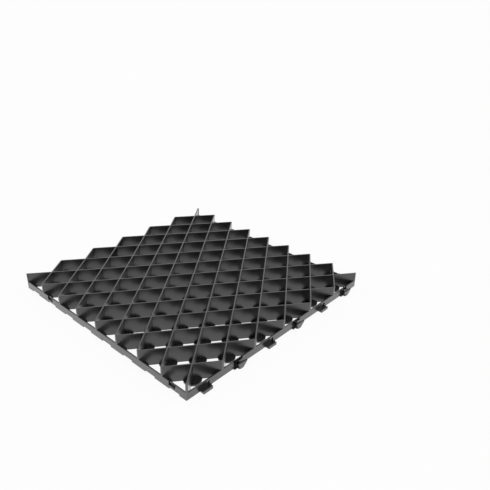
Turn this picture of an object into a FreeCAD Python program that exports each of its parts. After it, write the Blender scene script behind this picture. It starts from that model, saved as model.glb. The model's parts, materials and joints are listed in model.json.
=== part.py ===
import FreeCAD, Part
import os

V = FreeCAD.Vector

# Tile: a square of rhombic cells, lengths in mm.
# X runs along the clip edge, Y along the notch edge, Z is up from the ground.
tile_x = 500.0
tile_y = 500.0
cells_x = 6
cells_y = 8
height = 35.0

# Ribs: two families of straight walls that cross at every node.
rib_top = 2.6
rib_base = 3.2

# Rim: a low wall round the edge, with a square post at each corner. It
# stands on the foot plates, and on the clip side it hangs in front of them.
rim_thickness = 3.0
rim_top = 16.0
apron_bottom = 1.2

# Foot plates: a flat disc under every node.
foot_thickness = 3.0
foot_radius = 16.5
rim_foot_radius = 18.5
foot_setback = 1.5

# Clips of the first kind: a tongue with an upturned lip under a window.
tongue_width = 21.0
tongue_reach = 9.0
tongue_offset = -1.0
lip_thickness = 2.5
lip_top = 6.0
window_width = 26.0
window_offset = -3.0
window_top = 12.5

# Clips of the second kind: a tapered hook beside an open slot.
slot_width = 12.0
slot_offset = -12.5
hook_width = 29.0
hook_offset = 6.5
hook_tip_start = 4.0
hook_tip_width = 10.0
hook_reach = 8.5
hook_top = 6.0

# Base web behind each clip, inside the rim. It runs a little past the clip
# and its opening at both ends.
web_depth = 11.0
web_overlap = 2.0

# Recesses in the outside of the rim for the lugs of the next tile, each with
# a small ledge under it.
notch_width = 17.0
notch_floor = 7.0
notch_depth = 2.0
ledge_reach = 1.5
ledge_thickness = 3.0
notch_places = (0.5, 6.5)

# What one tile leaves free round the parts of the next.
clearance = 0.5


def pitch_x():
    return tile_x / cells_x


def pitch_y():
    return tile_y / cells_y


def place(v, u):
    """Ground position of the lattice point v pitches along X and u along Y."""
    return V(v * pitch_x() - tile_x / 2, u * pitch_y() - tile_y / 2, 0)


def block(x0, x1, y0, y1, z0, z1):
    return Part.makeBox(x1 - x0, y1 - y0, z1 - z0, V(x0, y0, z0))


def prism(points, z0, z1):
    corners = [V(x, y, z0) for x, y in points]
    face = Part.Face(Part.makePolygon(corners + corners[:1]))
    return face.extrude(V(0, 0, z1 - z0))


def tile_block(z1):
    return block(-tile_x / 2, tile_x / 2, -tile_y / 2, tile_y / 2, 0, z1)


def rib(middle, direction, length):
    """One long wall, a little thicker at its base, centred on a point."""
    along = V(direction).normalize()
    across = V(-along.y, along.x, 0)
    start = middle - along * (length / 2)
    section = [
        start - across * (rib_base / 2),
        start + across * (rib_base / 2),
        start + across * (rib_top / 2) + V(0, 0, height),
        start - across * (rib_top / 2) + V(0, 0, height),
    ]
    face = Part.Face(Part.makePolygon(section + section[:1]))
    return face.extrude(along * length)


def rib_family(sign):
    """All the parallel ribs that climb one way across the tile."""
    step = V(pitch_x(), sign * pitch_y(), 0)
    length = 2 * (tile_x + tile_y)
    reach = cells_x + cells_y
    ribs = []
    for i in range(2 - reach, reach, 2):
        middle = V(0, i * pitch_y() / 2, 0)
        ribs.append(rib(middle, step, length))
    return ribs


def lattice():
    one = Part.makeCompound(rib_family(1))
    other = Part.makeCompound(rib_family(-1))
    both = one.fuse(other)
    return both.common(tile_block(height))


def nodes():
    """Lattice points that carry a foot, and whether they lie on the edge."""
    found = []
    for half_u in range(2 * cells_y + 1):
        for half_v in range(2 * cells_x + 1):
            if half_u % 2 != half_v % 2:
                continue
            on_edge = half_u in (0, 2 * cells_y) or half_v in (0, 2 * cells_x)
            found.append((half_v / 2, half_u / 2, on_edge))
    return found


def feet():
    discs = []
    for v, u, on_edge in nodes():
        radius = rim_foot_radius if on_edge else foot_radius
        discs.append(Part.makeCylinder(radius, foot_thickness, place(v, u)))
    room = block(-tile_x / 2, tile_x / 2, -tile_y / 2 + foot_setback, tile_y / 2,
                 0, foot_thickness)
    return Part.makeCompound(discs).common(room)


def rim():
    outer = block(-tile_x / 2, tile_x / 2, -tile_y / 2, tile_y / 2,
                  foot_thickness, rim_top)
    inner = block(-tile_x / 2 + rim_thickness, tile_x / 2 - rim_thickness,
                  -tile_y / 2 + rim_thickness, tile_y / 2 - rim_thickness,
                  0, height)
    apron = block(-tile_x / 2, tile_x / 2, -tile_y / 2,
                  -tile_y / 2 + rim_thickness, apron_bottom, rim_top)
    return outer.cut(inner).fuse(apron)


def corner_posts():
    """Square posts, as thick as the rim, up to the top of the ribs."""
    posts = []
    for x in (-tile_x / 2, tile_x / 2 - rim_thickness):
        for y in (-tile_y / 2, tile_y / 2 - rim_thickness):
            posts.append(block(x, x + rim_thickness, y, y + rim_thickness,
                               foot_thickness, height))
    return posts


def edge_middle(i):
    """X of the middle of edge cell i on the clip side."""
    return place(i + 0.5, 0).x


def tongue_span(i):
    x = edge_middle(i) + tongue_offset
    return x - tongue_width / 2, x + tongue_width / 2


def hook_span(i):
    x = edge_middle(i) + hook_offset
    return x - hook_width / 2, x + hook_width / 2


def window_span(i):
    x = edge_middle(i) + window_offset
    return x - window_width / 2, x + window_width / 2


def slot_span(i):
    x = edge_middle(i) + slot_offset
    return x - slot_width / 2, x + slot_width / 2


def web(*spans):
    """Base plate under everything between the ends of the given spans."""
    x0 = min(min(span) for span in spans) - web_overlap
    x1 = max(max(span) for span in spans) + web_overlap
    edge = -tile_y / 2
    return block(x0, x1, edge, edge + web_depth, 0, foot_thickness)


def tongue(i):
    x0, x1 = tongue_span(i)
    edge = -tile_y / 2
    tip = edge - tongue_reach
    plate = block(x0, x1, tip, edge + rim_thickness, 0, foot_thickness)
    lip = block(x0, x1, tip, tip + lip_thickness, 0, lip_top)
    return [plate, lip, web(tongue_span(i), window_span(i))]


def hook(i):
    """A tapered plate whose tip stands up beyond the groove for the next rim."""
    x0, x1 = hook_span(i)
    edge = -tile_y / 2
    tip = edge - hook_reach
    groove = rim_thickness + clearance
    tip0 = x0 + hook_tip_start
    tip1 = tip0 + hook_tip_width
    outline = [
        (x0, edge + rim_thickness), (x0, tip + hook_tip_start / 2),
        (tip0, tip), (tip1, tip),
        (tip1 + hook_tip_start, (tip + edge) / 2),
        (x1, edge), (x1, edge + rim_thickness),
    ]
    plate = prism(outline, 0, foot_thickness)
    beyond = block(x0, x1, tip, edge - groove, 0, hook_top)
    lip = prism(outline, 0, hook_top).common(beyond)
    return [plate, lip, web(hook_span(i), slot_span(i))]


def clip_openings():
    """Windows over the tongues and slots beside the hooks."""
    edge = -tile_y / 2
    cuts = []
    for i in range(cells_x):
        if i % 2 == 0:
            x0, x1 = window_span(i)
            top = window_top
        else:
            x0, x1 = slot_span(i)
            top = rim_top
        cuts.append(block(x0, x1, edge, edge + rim_thickness,
                          foot_thickness, top))
    return cuts


def clip_sockets():
    """Relief under the far rim, which drops into the next tile's clips."""
    edge = tile_y / 2
    cuts = []
    for i in range(cells_x):
        x0, x1 = tongue_span(i) if i % 2 == 0 else hook_span(i)
        cuts.append(block(x0 - clearance, x1 + clearance, edge - rim_thickness,
                          edge, 0, foot_thickness + clearance))
    return cuts


def along_notches(x0, x1, width, z0, z1):
    """One block at every notch place, as wide along the edge as stated."""
    blocks = []
    for u in notch_places:
        y = place(0, u).y
        blocks.append(block(x0, x1, y - width / 2, y + width / 2, z0, z1))
    return blocks


def notches():
    edge = -tile_x / 2
    return along_notches(edge, edge + notch_depth, notch_width,
                         notch_floor, rim_top)


def ledges():
    edge = -tile_x / 2
    return along_notches(edge - ledge_reach, edge + rim_thickness, notch_width,
                         notch_floor - ledge_thickness, notch_floor)


def lugs():
    """Pads on the far edge that slide down into the notches of the next tile."""
    edge = tile_x / 2
    return along_notches(edge - rim_thickness, edge + notch_depth - clearance,
                         notch_width - 2 * clearance,
                         notch_floor + clearance, rim_top)


def ledge_pockets():
    """Room under each lug for the ledge of the next tile."""
    edge = tile_x / 2
    return along_notches(edge - ledge_reach - clearance, edge,
                         notch_width + 2 * clearance,
                         foot_thickness, notch_floor + clearance)


def paver():
    frame = rim()
    for cuts in (clip_openings(), clip_sockets(), notches(), ledge_pockets()):
        frame = frame.cut(Part.makeCompound(cuts))
    clips = []
    for i in range(cells_x):
        clips += tongue(i) if i % 2 == 0 else hook(i)
    extras = clips + ledges() + lugs() + corner_posts()
    body = lattice().fuse(feet())
    body = body.fuse(frame)
    body = body.multiFuse(extras)
    return body.removeSplitter()


os.makedirs("parts", exist_ok=True)
part = paver()
solid = part.Solids[0] if len(part.Solids) == 1 else part
print("solids", len(part.Solids), "valid", part.isValid(),
      "volume cm3", round(part.Volume / 1000, 1),
      "box", part.BoundBox, "faces", len(part.Faces))
solid.exportStep("parts/paver_grid.step")
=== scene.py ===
"""Grass paver grid: a square plastic tile of crossed ribs on round feet."""

import json
import math

import bmesh
import bpy
from bpy.props import FloatProperty, FloatVectorProperty, IntProperty, PointerProperty
from mathutils import Matrix, Vector

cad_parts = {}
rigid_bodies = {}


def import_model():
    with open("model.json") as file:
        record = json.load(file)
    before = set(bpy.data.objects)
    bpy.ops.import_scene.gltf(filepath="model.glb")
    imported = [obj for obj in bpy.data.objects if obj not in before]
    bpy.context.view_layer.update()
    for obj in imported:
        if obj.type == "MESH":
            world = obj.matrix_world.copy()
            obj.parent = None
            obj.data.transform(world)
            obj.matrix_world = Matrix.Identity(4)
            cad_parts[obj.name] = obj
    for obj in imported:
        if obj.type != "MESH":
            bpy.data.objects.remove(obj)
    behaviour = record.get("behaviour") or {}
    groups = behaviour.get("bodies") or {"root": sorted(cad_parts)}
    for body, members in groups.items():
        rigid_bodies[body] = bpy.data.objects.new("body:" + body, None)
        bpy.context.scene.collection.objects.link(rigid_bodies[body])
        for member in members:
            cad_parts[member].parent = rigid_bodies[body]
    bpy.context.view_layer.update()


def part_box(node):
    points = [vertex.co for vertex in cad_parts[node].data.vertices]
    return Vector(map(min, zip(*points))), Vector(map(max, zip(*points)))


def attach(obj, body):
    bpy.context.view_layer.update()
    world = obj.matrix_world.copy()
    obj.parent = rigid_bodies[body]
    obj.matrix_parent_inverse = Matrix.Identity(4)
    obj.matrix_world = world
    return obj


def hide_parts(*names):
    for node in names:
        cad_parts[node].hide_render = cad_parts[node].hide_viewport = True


bl_info = {
    "name": "Grass paver grid",
    "version": (1, 0, 0),
    "blender": (4, 5, 0),
    "location": "View3D > Sidebar > Paver",
    "description": "Models a moulded ground grid tile and its studio stage",
    "category": "Add Mesh",
}

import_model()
NODE = "paver_grid"
BODY = "root"
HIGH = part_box(NODE)[1]

# Middles of the edge cells that have a notch, in cells along Y.
NOTCH_PLACES = (0.5, 6.5)

# Facets round a foot plate.
FOOT_FACETS = 64

# Share of its neighbour's thickness that a part fills, so that no two faces
# of theirs lie in one plane.
FILLED = 0.9

# How near a point counts as on a face, in metres.
TOUCH = 1e-6

# How much the plastic's colour varies either way.
TINT_SPREAD = 0.1

# Share of plain white in the floor, as the camera and the plastic see it.
FLOOR_GLOW = 0.93

# How far the floor reaches from its middle, in metres.
FLOOR_REACH = 30.0


def length(name, description, default):
    """A size in metres."""
    return FloatProperty(name=name, description=description, default=default,
                         unit="LENGTH", precision=4)


def count(name, description, default):
    return IntProperty(name=name, description=description, default=default, min=1)


def colour(name, description, default):
    return FloatVectorProperty(name=name, description=description, default=default,
                               subtype="COLOR", size=3, min=0.0, max=1.0)


class PaverSizes(bpy.types.PropertyGroup):
    """Sizes of the tile, in metres."""

    side_x: length("Side X", "Length of the clip edge", 0.5)
    side_y: length("Side Y", "Length of the notch edge", 0.5)
    cells_x: count("Cells X", "Cells along the clip edge", 6)
    cells_y: count("Cells Y", "Cells along the notch edge", 8)
    height: length("Height", "Height of the ribs above the ground",
                   round(HIGH.z, 4))
    rib_top: length("Rib top", "Thickness of a rib at its top", 0.0026)
    rib_base: length("Rib base", "Thickness of a rib at its base", 0.0032)
    rib_bottom: length("Rib bottom", "Lower edge of the ribs between the feet",
                       0.002)
    rim_thickness: length("Rim thickness", "Thickness of the rim", 0.003)
    rim_top: length("Rim top", "Height of the top of the rim", 0.016)
    apron_bottom: length("Apron bottom", "Lower edge of the clip side's rim", 0.0012)
    foot_thickness: length("Foot thickness", "Thickness of the foot plates", 0.003)
    foot_radius: length("Foot radius", "Radius of the foot plates", 0.0165)
    rim_foot_radius: length("Rim foot radius", "Radius of the feet on the rim",
                            0.0185)
    foot_setback: length("Foot setback", "Feet behind the clip side's face", 0.0015)
    edge_round: length("Edge round", "Rounding of the moulded edges", 0.0004)
    tongue_width: length("Tongue width", "Width of a tongue clip", 0.021)
    tongue_reach: length("Tongue reach", "How far a tongue stands out", 0.009)
    tongue_offset: length("Tongue offset", "Tongue from its cell's middle", -0.001)
    tongue_flare: length("Tongue flare", "How much a tongue widens to the rim", 0.0055)
    lip_thickness: length("Lip thickness", "Thickness of a tongue's lip or a tab",
                          0.0025)
    lip_top: length("Lip top", "Height of the top of a tongue's lip", 0.006)
    window_width: length("Window width", "Width of the window over a tongue", 0.026)
    window_offset: length("Window offset", "Window from its cell's middle", -0.003)
    window_top: length("Window top", "Height of the top of the window", 0.0125)
    slot_width: length("Slot width", "Width of the slot beside a hook", 0.014)
    slot_offset: length("Slot offset", "Slot from its cell's middle", -0.008)
    step_width: length("Step width", "Width of the lower rim beside the slot", 0.009)
    step_top: length("Step top", "Height of the lower rim beside the slot", 0.0115)
    hook_width: length("Hook width", "Width of a hook at the rim", 0.029)
    hook_offset: length("Hook offset", "Hook from its cell's middle", 0.0065)
    hook_reach: length("Hook reach", "How far a hook stands out", 0.0085)
    tip_start: length("Tip start", "Where the hook's blunt tip starts", 0.004)
    tip_width: length("Tip width", "Width of the hook's blunt tip", 0.0065)
    tab_width: length("Tab width", "Width of the top of a hook's tab", 0.0235)
    tab_offset: length("Tab offset", "Top of the tab from its cell's middle", 0.0008)
    tab_top: length("Tab top", "Height of the top of a hook's tab", 0.0115)
    tab_taper: length("Tab taper", "How much the tab narrows on its slot side", 0.0055)
    tab_slope: length("Tab slope", "How much the tab narrows on its other side",
                      0.0105)
    sill_reach: length("Sill reach", "How far the slot's sill stands out", 0.003)
    clip_recess: length("Clip recess", "Depth of the windows and slots in the rim",
                        0.002)
    notch_width: length("Notch width", "Width of a notch at the rim's top", 0.0205)
    notch_offset: length("Notch offset", "Notch from its cell's middle", 0.0028)
    notch_taper: length("Notch taper", "How much a notch narrows to its floor",
                        0.006)
    notch_floor: length("Notch floor", "Height of the floor of a notch", 0.0095)
    notch_depth: length("Notch depth", "How deep a notch goes into the rim", 0.002)
    ledge_reach: length("Ledge reach", "How far a notch's ledge stands out", 0.0015)
    ledge_thickness: length("Ledge thickness", "Thickness of the ledge", 0.003)
    clearance: length("Clearance", "Play between the parts of two tiles", 0.0005)


class PaverFinish(bpy.types.PropertyGroup):
    """Colours of the tile and of the stage."""

    plastic: colour("Plastic", "Colour of the tile", (0.009, 0.009, 0.0092))
    floor: colour("Floor", "Colour of the floor", (0.95, 0.95, 0.95))


def sizes():
    return bpy.context.scene.paver_sizes


def colours():
    return bpy.context.scene.paver_finish


def place(v, u):
    """Ground position of the lattice point v cells along X and u along Y."""
    s = sizes()
    return Vector((v * s.side_x / s.cells_x - s.side_x / 2,
                   u * s.side_y / s.cells_y - s.side_y / 2, 0.0))


def span(i, offset, width):
    """Ends along X of something in edge cell i, off the cell's middle."""
    x = place(i + 0.5, 0).x + offset
    return x - width / 2, x + width / 2


def clip_side():
    """Y of the outer and of the inner face of the clip side's rim."""
    edge = -sizes().side_y / 2
    return edge, edge + sizes().rim_thickness


def notch_middles():
    return [place(0, u).y + sizes().notch_offset for u in NOTCH_PLACES]


def notch_outline(middle, play, top):
    """The outline of a notch, or of what fits in it with some play."""
    s = sizes()
    half = s.notch_width / 2 - play
    floor = s.notch_floor + play
    return [(middle - half, top), (middle - half + s.notch_taper, floor),
            (middle + half, floor), (middle + half, top)]


def add_block(bm, x0, x1, y0, y1, z0, z1):
    """A box from its limits."""
    made = bmesh.ops.create_cube(bm, size=1.0)["verts"]
    bmesh.ops.scale(bm, vec=(x1 - x0, y1 - y0, z1 - z0), verts=made)
    bmesh.ops.translate(bm, vec=((x0 + x1) / 2, (y0 + y1) / 2, (z0 + z1) / 2),
                        verts=made)


def round_edges(bm, edges, width):
    bmesh.ops.bevel(bm, geom=list(edges), offset=width, offset_type="OFFSET",
                    segments=2, profile=0.5, affect="EDGES",
                    clamp_overlap=True, material=-1)


def add_profile(bm, outline, way):
    """A flat outline drawn along a direction."""
    face = bm.faces.new([bm.verts.new(point) for point in outline])
    grown = bmesh.ops.extrude_face_region(bm, geom=[face])["geom"]
    end = [g for g in grown if isinstance(g, bmesh.types.BMVert)]
    bmesh.ops.translate(bm, vec=way, verts=end)


def add_prism(bm, plan, height):
    """A plan drawn straight up from the ground."""
    add_profile(bm, [(x, y, 0.0) for x, y in plan], (0, 0, height))


def cut_at(bm, point, normal):
    """Cuts away what lies beyond a plane and closes the cut."""
    geometry = bm.verts[:] + bm.edges[:] + bm.faces[:]
    cut = bmesh.ops.bisect_plane(bm, geom=geometry, plane_co=point,
                                 plane_no=normal, clear_outer=True, dist=1e-7)
    edges = [e for e in cut["geom_cut"]
             if isinstance(e, bmesh.types.BMEdge) and e.is_boundary]
    if edges:
        bmesh.ops.holes_fill(bm, edges=edges, sides=0)


def cut_to_tile(bm, setback=0.0):
    """Cuts a part flush with the tile's sides, or behind the clip side."""
    s = sizes()
    x, y = s.side_x / 2, s.side_y / 2
    cut_at(bm, (-x, 0, 0), (-1, 0, 0))
    cut_at(bm, (x, 0, 0), (1, 0, 0))
    cut_at(bm, (0, -y + setback, 0), (0, -1, 0))
    cut_at(bm, (0, y, 0), (0, 1, 0))


def add_part(bm, part):
    """Adds a finished part to a larger mesh."""
    mesh = bpy.data.meshes.new("part")
    part.to_mesh(mesh)
    part.free()
    bm.from_mesh(mesh)
    bpy.data.meshes.remove(mesh)


def make_object(bm, name):
    """Turns the mesh into an object of the scene."""
    mesh = bpy.data.meshes.new(name)
    bm.to_mesh(mesh)
    bm.free()
    made = bpy.data.objects.new(name, mesh)
    bpy.context.scene.collection.objects.link(made)
    return made


def make_part(bm, name):
    """Makes an object, faces outwards, that waits to be fused into the tile."""
    bmesh.ops.recalc_face_normals(bm, faces=bm.faces[:])
    return make_object(bm, name)


def combine(body, part, operation):
    """Fuses a part into a body, or cuts it out of the body, and removes it."""
    step = body.modifiers.new(part.name, "BOOLEAN")
    step.operation = operation
    step.solver = "MANIFOLD"
    step.object = part
    graph = bpy.context.evaluated_depsgraph_get()
    shaped = bpy.data.meshes.new_from_object(body.evaluated_get(graph))
    body.modifiers.clear()
    body.data = shaped
    bpy.data.objects.remove(part)


class PAVER_OT_ribs(bpy.types.Operator):
    """Makes the two families of upright ribs that cross at every node"""

    bl_idname = "paver.ribs"
    bl_label = "Ribs"

    def execute(self, context):
        s = sizes()
        reach = s.cells_x + s.cells_y
        for name, sign in (("rising_ribs", 1), ("falling_ribs", -1)):
            bm = bmesh.new()
            for i in range(2 - reach, reach, 2):
                add_part(bm, self.rib(sign, i))
            make_part(bm, name)
        return {"FINISHED"}

    def rib(self, sign, i):
        """One wall right across the tile, thinner and rounded at its top."""
        s = sizes()
        step_x, step_y = s.side_x / s.cells_x, s.side_y / s.cells_y
        half = s.side_x + s.side_y
        bm = bmesh.new()
        add_block(bm, -half, half, -s.rib_base / 2, s.rib_base / 2,
                  s.rib_bottom, s.height)
        top = [v for v in bm.verts if v.co.z > s.height / 2]
        bmesh.ops.scale(bm, vec=(1.0, s.rib_top / s.rib_base, 1.0), verts=top)
        round_edges(bm, [e for e in bm.edges if e.calc_length() > half
                         and min(v.co.z for v in e.verts) > s.height / 2],
                    s.edge_round)
        turn = Matrix.Rotation(math.atan2(sign * step_y, step_x), 4, "Z")
        shift = Matrix.Translation((0, i * step_y / 2, 0))
        bmesh.ops.transform(bm, matrix=shift @ turn, verts=bm.verts)
        cut_to_tile(bm)
        return bm


class PAVER_OT_feet(bpy.types.Operator):
    """Makes the round foot plate under every node"""

    bl_idname = "paver.feet"
    bl_label = "Feet"

    def execute(self, context):
        s = sizes()
        bm = bmesh.new()
        for half_u in range(2 * s.cells_y + 1):
            for half_v in range(half_u % 2, 2 * s.cells_x + 1, 2):
                on_rim = half_u in (0, 2 * s.cells_y) or half_v in (0, 2 * s.cells_x)
                add_part(bm, self.foot(place(half_v / 2, half_u / 2), on_rim))
        make_part(bm, "feet")
        return {"FINISHED"}

    def foot(self, centre, on_rim):
        """A round plate, its upper edge rounded, or the part of it on the tile."""
        s = sizes()
        bm = bmesh.new()
        radius = s.rim_foot_radius if on_rim else s.foot_radius
        bmesh.ops.create_cone(bm, cap_ends=True, cap_tris=False,
                              segments=FOOT_FACETS, radius1=radius, radius2=radius,
                              depth=s.foot_thickness)
        shift = centre + Vector((0, 0, s.foot_thickness / 2))
        bmesh.ops.translate(bm, vec=shift, verts=bm.verts)
        round_edges(bm, [e for e in bm.edges
                         if min(v.co.z for v in e.verts) > s.foot_thickness / 2],
                    s.edge_round)
        if on_rim:
            cut_to_tile(bm, s.foot_setback)
        return bm


class PAVER_OT_rim(bpy.types.Operator):
    """Makes the low rim with its posts, windows, slots and notches"""

    bl_idname = "paver.rim"
    bl_label = "Rim"

    def execute(self, context):
        rim = make_part(self.slab(0.0), "rim")
        inside = make_part(self.slab(sizes().rim_thickness), "inside")
        combine(rim, inside, "DIFFERENCE")
        self.round_top(rim)
        combine(rim, make_part(self.apron(), "apron"), "UNION")
        combine(rim, make_part(self.openings(), "openings"), "DIFFERENCE")
        combine(rim, make_part(self.posts(), "posts"), "UNION")
        return {"FINISHED"}

    def slab(self, inset):
        """The rim's outer block, or its inside: smaller by an inset, and taller."""
        s = sizes()
        x, y = s.side_x / 2 - inset, s.side_y / 2 - inset
        bm = bmesh.new()
        add_block(bm, -x, x, -y, y, s.foot_thickness - inset, s.rim_top + inset)
        return bm

    def round_top(self, rim):
        """Rounds the upright rim's two upper edges all the way round."""
        s = sizes()
        bm = bmesh.new()
        bm.from_mesh(rim.data)
        under_top = s.rim_top - s.edge_round
        square = math.radians(90)
        round_edges(bm, [e for e in bm.edges if e.calc_face_angle(0.0) > square / 2
                         and min(v.co.z for v in e.verts) > under_top],
                    s.edge_round)
        bm.to_mesh(rim.data)
        bm.free()

    def apron(self):
        """The lower part of the clip side, in front of the feet."""
        s = sizes()
        bm = bmesh.new()
        add_block(bm, -s.side_x / 2, s.side_x / 2, *clip_side(),
                  s.apron_bottom, s.rim_top / 2)
        return bm

    def posts(self):
        """Square posts at the corners, up to the top of the ribs."""
        s = sizes()
        bm = bmesh.new()
        for x in (-s.side_x / 2, s.side_x / 2 - s.rim_thickness):
            for y in (-s.side_y / 2, s.side_y / 2 - s.rim_thickness):
                add_block(bm, x, x + s.rim_thickness, y, y + s.rim_thickness,
                          s.foot_thickness, s.height)
        return bm

    def openings(self):
        """Everything that is cut out of the rim, as separate blocks."""
        bm = bmesh.new()
        over = sizes().rim_thickness / 2
        self.clip_openings(bm, over)
        self.notch_openings(bm, over)
        return bm

    def clip_openings(self, bm, over):
        """Windows and slots at the clips, and the far side's room for the next
        tile's clips. Each block reaches over the faces that it cuts."""
        s = sizes()
        near, far = -s.side_y / 2, s.side_y / 2
        for i in range(s.cells_x):
            if i % 2 == 0:
                gap, top = span(i, s.window_offset, s.window_width), s.window_top
                clip = span(i, s.tongue_offset, s.tongue_width)
            else:
                gap, top = span(i, s.slot_offset, s.slot_width), s.rim_top + over
                clip = span(i, s.hook_offset, s.hook_width)
                add_block(bm, gap[1] - over, gap[1] + s.step_width, near - over,
                          near + s.clip_recess, s.step_top, top)
            add_block(bm, *gap, near - over, near + s.clip_recess,
                      s.foot_thickness, top)
            add_block(bm, clip[0] - s.clearance, clip[1] + s.clearance,
                      far - s.rim_thickness - over, far + over,
                      s.foot_thickness - over, s.foot_thickness + s.clearance)

    def notch_openings(self, bm, over):
        """Notches, and the room under each lug for the next tile's ledge."""
        s = sizes()
        near, far = -s.side_x / 2, s.side_x / 2
        for y in notch_middles():
            outline = notch_outline(y, 0.0, s.rim_top + over)
            add_profile(bm, [(near - over, y, z) for y, z in outline],
                        (s.notch_depth + over, 0, 0))
            half = s.notch_width / 2 + s.clearance
            add_block(bm, far - s.ledge_reach - s.clearance, far + over,
                      y - half, y + half, s.foot_thickness - over,
                      s.notch_floor + s.clearance)


class PAVER_OT_clips(bpy.types.Operator):
    """Makes the tongues, hooks, tabs and sills of the clip side"""

    bl_idname = "paver.clips"
    bl_label = "Clips"

    def execute(self, context):
        s = sizes()
        tongues, plates, tabs, sills = (bmesh.new() for _ in range(4))
        for i in range(s.cells_x):
            if i % 2 == 0:
                x0, x1 = span(i, s.tongue_offset, s.tongue_width)
                add_part(tongues, self.tongue(x0, x1))
                self.add_flare(plates, x1)
            else:
                x0, x1 = span(i, s.hook_offset, s.hook_width)
                add_part(plates, self.hook(x0, x1))
                add_part(tabs, self.tab(*span(i, s.tab_offset, s.tab_width)))
                slot = span(i, s.slot_offset, s.slot_width)
                self.add_sill(sills, slot[0], x0 + s.tip_start)
        clips = make_part(tongues, "clips")
        for bm, name in ((plates, "plates"), (tabs, "tabs"), (sills, "sills")):
            combine(clips, make_part(bm, name), "UNION")
        return {"FINISHED"}

    def tongue(self, x0, x1):
        """A flat tongue with its end turned up, drawn along X."""
        s = sizes()
        edge, root = clip_side()
        tip = edge - s.tongue_reach
        bm = bmesh.new()
        section = [(root, 0.0), (tip, 0.0), (tip, s.lip_top),
                   (tip + s.lip_thickness, s.lip_top),
                   (tip + s.lip_thickness, s.foot_thickness),
                   (root, s.foot_thickness)]
        add_profile(bm, [(x0, y, z) for y, z in section], (x1 - x0, 0, 0))
        round_edges(bm, [e for e in bm.edges
                         if max(v.co.y for v in e.verts) < root - TOUCH],
                    s.edge_round)
        return bm

    def add_flare(self, bm, x1):
        """The wedge by which a tongue widens to the rim, from its end at x1."""
        s = sizes()
        edge, root = clip_side()
        start = edge - s.tongue_reach + s.lip_thickness
        inside, outside = x1 - s.lip_thickness, x1 + s.tongue_flare
        add_prism(bm, [(inside, root), (inside, start), (x1, start),
                       (outside, edge), (outside, root)], s.foot_thickness * FILLED)

    def hook(self, x0, x1):
        """A tapered hook, drawn up from its plan, with its outer edge rounded."""
        s = sizes()
        edge, root = clip_side()
        tip = edge - s.hook_reach
        tip0 = x0 + s.tip_start
        tip1 = tip0 + s.tip_width
        bm = bmesh.new()
        add_prism(bm, [(x0, root), (x0, tip + s.tip_start / 2), (tip0, tip),
                       (tip1, tip), (tip1 + s.tip_start, (tip + edge) / 2),
                       (x1, edge), (x1, root)], s.foot_thickness)
        round_edges(bm, [e for e in bm.edges
                         if min(v.co.z for v in e.verts) > s.foot_thickness / 2],
                    s.edge_round)
        return bm

    def tab(self, x0, x1):
        """The upright tab of a hook, narrower towards the ground."""
        s = sizes()
        tip = -s.side_y / 2 - s.hook_reach
        shoulder = (x1 - s.tip_start / 4, s.tab_top * 0.75)
        bm = bmesh.new()
        outline = [(x0, s.tab_top), (x0 + s.tab_taper, 0.0),
                   (x1 - s.tab_slope, 0.0), shoulder, (x1, s.tab_top)]
        add_profile(bm, [(x, tip, z) for x, z in outline], (0, s.lip_thickness, 0))
        round_edges(bm, [e for e in bm.edges
                         if max(v.co.z for v in e.verts) > s.foot_thickness],
                    s.edge_round)
        return bm

    def add_sill(self, bm, x0, x1):
        """The thin strip that stands out under a slot, as far as the hook."""
        s = sizes()
        edge, root = clip_side()
        add_block(bm, x0, x1, edge - s.sill_reach, root, 0.0, s.foot_thickness / 2)


class PAVER_OT_lugs(bpy.types.Operator):
    """Makes the ledges under the notches and the lugs of the far side"""

    bl_idname = "paver.lugs"
    bl_label = "Ledges and lugs"

    def execute(self, context):
        bm = bmesh.new()
        for y in notch_middles():
            add_part(bm, self.ledge(y))
            add_part(bm, self.lug(y))
        make_part(bm, "lugs")
        return {"FINISHED"}

    def ledge(self, middle):
        """The small shelf that stands out under a notch."""
        s = sizes()
        near, half = -s.side_x / 2, s.notch_width / 2
        bm = bmesh.new()
        add_block(bm, near - s.ledge_reach, near + s.rim_thickness * FILLED,
                  middle - half + s.notch_taper, middle + half,
                  s.notch_floor - s.ledge_thickness, s.notch_floor)
        round_edges(bm, bm.edges, s.edge_round)
        return bm

    def lug(self, middle):
        """The pad on the far side that fits a notch of the next tile."""
        s = sizes()
        far = s.side_x / 2
        start = far - s.rim_thickness * FILLED
        outline = notch_outline(middle, s.clearance, s.rim_top)
        bm = bmesh.new()
        add_profile(bm, [(start, y, z) for y, z in outline],
                    (far + s.notch_depth - s.clearance - start, 0, 0))
        round_edges(bm, bm.edges, s.edge_round)
        return bm


def new_material(name):
    """A material with a plain shader. Returns it with its nodes and links."""
    material = bpy.data.materials.new(name)
    material.use_nodes = True
    tree = material.node_tree
    return material, tree.nodes, tree.links


def set_inputs(node, values):
    """Sets the named inputs of a node and returns the node."""
    for name, value in values.items():
        node.inputs[name].default_value = value
    return node


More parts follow.
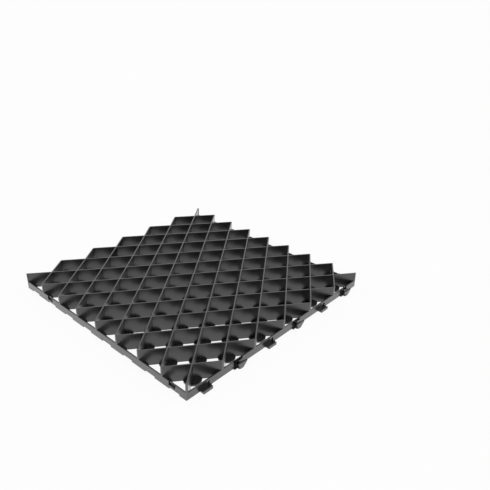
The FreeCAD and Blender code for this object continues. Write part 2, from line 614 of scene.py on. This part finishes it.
def plastic_material():
    """Charcoal moulded plastic with a clear satin skin and a fine grain."""
    material, nodes, links = new_material("charcoal_moulded_plastic")
    shader = nodes["Principled BSDF"]
    set_inputs(shader, {"IOR": 1.6, "Coat Weight": 1.0, "Coat Roughness": 0.25})
    where = nodes.new("ShaderNodeTexCoord")
    cloud = set_inputs(nodes.new("ShaderNodeTexNoise"),
                       {"Scale": 45.0, "Detail": 3.0})
    tint = nodes.new("ShaderNodeMix")
    tint.data_type = "RGBA"
    plastic = Vector(colours().plastic)
    set_inputs(tint, {"A": (*(plastic * (1 - TINT_SPREAD)), 1.0),
                      "B": (*(plastic * (1 + TINT_SPREAD)), 1.0)})
    gloss = set_inputs(nodes.new("ShaderNodeMapRange"),
                       {"To Min": 0.28, "To Max": 0.36})
    grain = set_inputs(nodes.new("ShaderNodeTexNoise"),
                       {"Scale": 900.0, "Detail": 2.0})
    bump = set_inputs(nodes.new("ShaderNodeBump"),
                      {"Strength": 0.06, "Distance": 0.0002})
    links.new(where.outputs["Object"], cloud.inputs["Vector"])
    links.new(where.outputs["Object"], grain.inputs["Vector"])
    links.new(cloud.outputs["Fac"], tint.inputs["Factor"])
    links.new(cloud.outputs["Fac"], gloss.inputs["Value"])
    links.new(tint.outputs["Result"], shader.inputs["Base Color"])
    links.new(gloss.outputs["Result"], shader.inputs["Roughness"])
    links.new(grain.outputs["Fac"], bump.inputs["Height"])
    links.new(bump.outputs["Normal"], shader.inputs["Normal"])
    return material


class PAVER_OT_tile(bpy.types.Operator):
    """Fuses the parts into the one moulded tile and gives it its plastic"""

    bl_idname = "paver.tile"
    bl_label = "Tile"

    def execute(self, context):
        parts = bpy.data.objects
        tile = parts["rising_ribs"]
        for name in ("falling_ribs", "feet", "rim", "clips", "lugs"):
            combine(tile, parts[name], "UNION")
        tile.name = "paver_tile"
        tile.data.materials.clear()
        tile.data.materials.append(plastic_material())
        tile.data.shade_smooth()
        tile.data.set_sharp_from_angle(angle=math.radians(20))
        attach(tile, BODY)
        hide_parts(NODE)
        return {"FINISHED"}


def floor_material():
    """Pale floor, seen by the camera and in the plastic as nearly white, with
    the tile's soft shadow on it."""
    material, nodes, links = new_material("pale_floor")
    shader = set_inputs(nodes["Principled BSDF"],
                        {"Base Color": (*colours().floor, 1.0), "Roughness": 0.9,
                         "Specular IOR Level": 0.0})
    glow = set_inputs(nodes.new("ShaderNodeEmission"),
                      {"Color": (1.0, 1.0, 1.0, 1.0), "Strength": 1.0})
    path = nodes.new("ShaderNodeLightPath")
    seen = nodes.new("ShaderNodeMath")
    seen.operation = "MAXIMUM"
    share = nodes.new("ShaderNodeMath")
    share.operation = "MULTIPLY"
    share.inputs[1].default_value = FLOOR_GLOW
    mix = nodes.new("ShaderNodeMixShader")
    links.new(path.outputs["Is Camera Ray"], seen.inputs[0])
    links.new(path.outputs["Is Glossy Ray"], seen.inputs[1])
    links.new(seen.outputs[0], share.inputs[0])
    links.new(share.outputs[0], mix.inputs["Fac"])
    links.new(shader.outputs[0], mix.inputs[1])
    links.new(glow.outputs[0], mix.inputs[2])
    links.new(mix.outputs[0], nodes["Material Output"].inputs["Surface"])
    return material


class PAVER_OT_stage(bpy.types.Operator):
    """Adds the floor and the soft light"""

    bl_idname = "paver.stage"
    bl_label = "Stage"

    def execute(self, context):
        bm = bmesh.new()
        bmesh.ops.create_grid(bm, x_segments=1, y_segments=1, size=FLOOR_REACH)
        floor = make_object(bm, "floor")
        floor.data.materials.append(floor_material())
        world = bpy.data.worlds.new("studio")
        world.use_nodes = True
        set_inputs(world.node_tree.nodes["Background"],
                   {"Color": (1.0, 1.0, 1.0, 1.0), "Strength": 0.8})
        context.scene.world = world
        context.scene.view_settings.view_transform = "Standard"
        return {"FINISHED"}


class PAVER_OT_camera(bpy.types.Operator):
    """Adds the camera, over the near corner of the tile"""

    bl_idname = "paver.camera"
    bl_label = "Camera"

    def execute(self, context):
        data = bpy.data.cameras.new("camera")
        data.sensor_width = 36.0
        data.lens = 41.042
        data.clip_start, data.clip_end = 0.01, 100.0
        camera = bpy.data.objects.new("camera", data)
        right = Vector((0.6719, -0.74023, 0.0248))
        up = Vector((0.32198, 0.32209, 0.89027))
        back = right.cross(up).normalized()
        turn = Matrix((right, up, back)).transposed().to_4x4()
        eye = Vector((-0.70815, -0.77149, 0.63855))
        camera.matrix_world = Matrix.Translation(eye) @ turn
        context.scene.collection.objects.link(camera)
        context.scene.camera = camera
        return {"FINISHED"}


class PAVER_PT_panel(bpy.types.Panel):
    """Lists the tile's parts, sizes and colours"""

    bl_idname = "PAVER_PT_panel"
    bl_label = "Grass paver grid"
    bl_space_type = "VIEW_3D"
    bl_region_type = "UI"
    bl_category = "Paver"

    def draw(self, context):
        layout = self.layout
        for operator in OPERATORS:
            layout.operator(operator.bl_idname)
        for group in (context.scene.paver_sizes, context.scene.paver_finish):
            for name in group.__annotations__:
                layout.prop(group, name)


OPERATORS = (PAVER_OT_camera, PAVER_OT_ribs, PAVER_OT_feet, PAVER_OT_rim,
             PAVER_OT_clips, PAVER_OT_lugs, PAVER_OT_tile, PAVER_OT_stage)
CLASSES = (PaverSizes, PaverFinish, *OPERATORS, PAVER_PT_panel)


def register():
    for cls in CLASSES:
        bpy.utils.register_class(cls)
    bpy.types.Scene.paver_sizes = PointerProperty(type=PaverSizes)
    bpy.types.Scene.paver_finish = PointerProperty(type=PaverFinish)


def unregister():
    del bpy.types.Scene.paver_finish
    del bpy.types.Scene.paver_sizes
    for cls in reversed(CLASSES):
        bpy.utils.unregister_class(cls)


def main():
    register()
    bpy.ops.paver.camera()
    bpy.ops.paver.ribs()
    bpy.ops.paver.feet()
    bpy.ops.paver.rim()
    bpy.ops.paver.clips()
    bpy.ops.paver.lugs()
    bpy.ops.paver.tile()
    bpy.ops.paver.stage()


if __name__ == "__main__":
    main()
